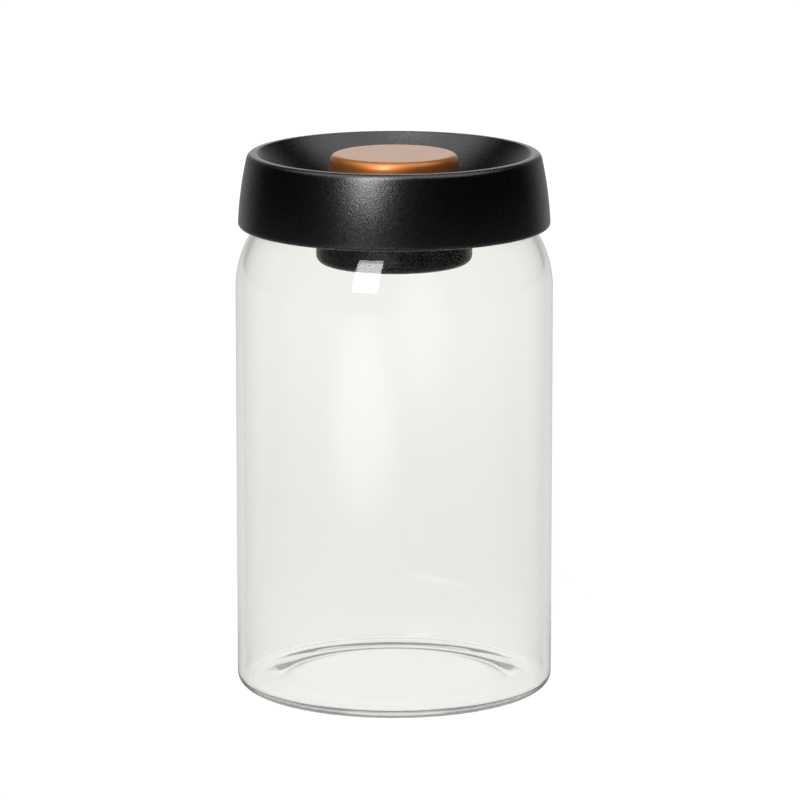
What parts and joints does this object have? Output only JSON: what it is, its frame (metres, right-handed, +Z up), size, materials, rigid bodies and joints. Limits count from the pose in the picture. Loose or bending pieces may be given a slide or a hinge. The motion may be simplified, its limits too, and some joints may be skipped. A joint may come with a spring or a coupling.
{
  "type": "vacuum seal canister",
  "caption": "Clear glass food jar with a black bowl-shaped lid whose round copper-coloured push button pumps air out and lets it back in with a turn.",
  "frame": {"origin": "centre of the circle on which the jar stands, on the surface below it", "axes": "+Z up along the axis of the jar, -Y towards the viewer of the picture, +X to the right"},
  "size_m": [0.104, 0.104, 0.1775],
  "materials": {
    "clear_glass": "polished clear glass",
    "black_plastic": "fine satin grain",
    "copper_metal": "satin copper-coloured anodising",
    "white_plastic": "natural moulded acetal",
    "silicone": "milky silicone",
    "steel": "bright stainless steel"
  },
  "bodies": {
    "jar": {"glass_jar": "clear_glass"},
    "lid": {"lid_shell": "black_plastic", "inner_lid": "black_plastic", "mouth_seal": "silicone", "pump_cup": "black_plastic", "cup_seal": "silicone", "filter_screen": "steel", "filter_ring": "black_plastic", "vent_tube": "white_plastic", "tube_nut": "white_plastic", "inlet_flap": "silicone", "return_spring": "steel"},
    "pump": {"plunger": "white_plastic", "piston_seal": "silicone", "tube_seal": "silicone", "exhaust_flap": "silicone"},
    "button": {"button_cap": "copper_metal", "button_core": "white_plastic", "swivel_ring": "white_plastic", "swivel_screws": "steel"},
    "vent": {"vent_valve": "white_plastic", "vent_pad": "silicone"}
  },
  "joints": [
    {"name": "lid_lift", "type": "slide", "parent": "jar", "child": "lid", "axis": [0, 0, 1], "range_m": [0, 0.08]},
    {"name": "pump_press", "type": "slide", "parent": "lid", "child": "pump", "axis": [0, 0, 1], "range_m": [-0.0105, 0], "stiffness_N_per_m": 900, "springref_m": 0.006, "deforming": ["return_spring"]},
    {"name": "release_turn", "type": "hinge", "parent": "pump", "child": "button", "pos_m": [0, 0, 0.17], "axis": [0, 0, 1], "range_deg": [0, 45]},
    {"name": "vent_lift", "type": "slide", "parent": "lid", "child": "vent", "axis": [0, 0, 1], "range_m": [0, 0.0009]}
  ],
  "couplings": [
    {"joint": "vent_lift", "follows": "release_turn", "m_per_rad": 0.0011459}
  ]
}
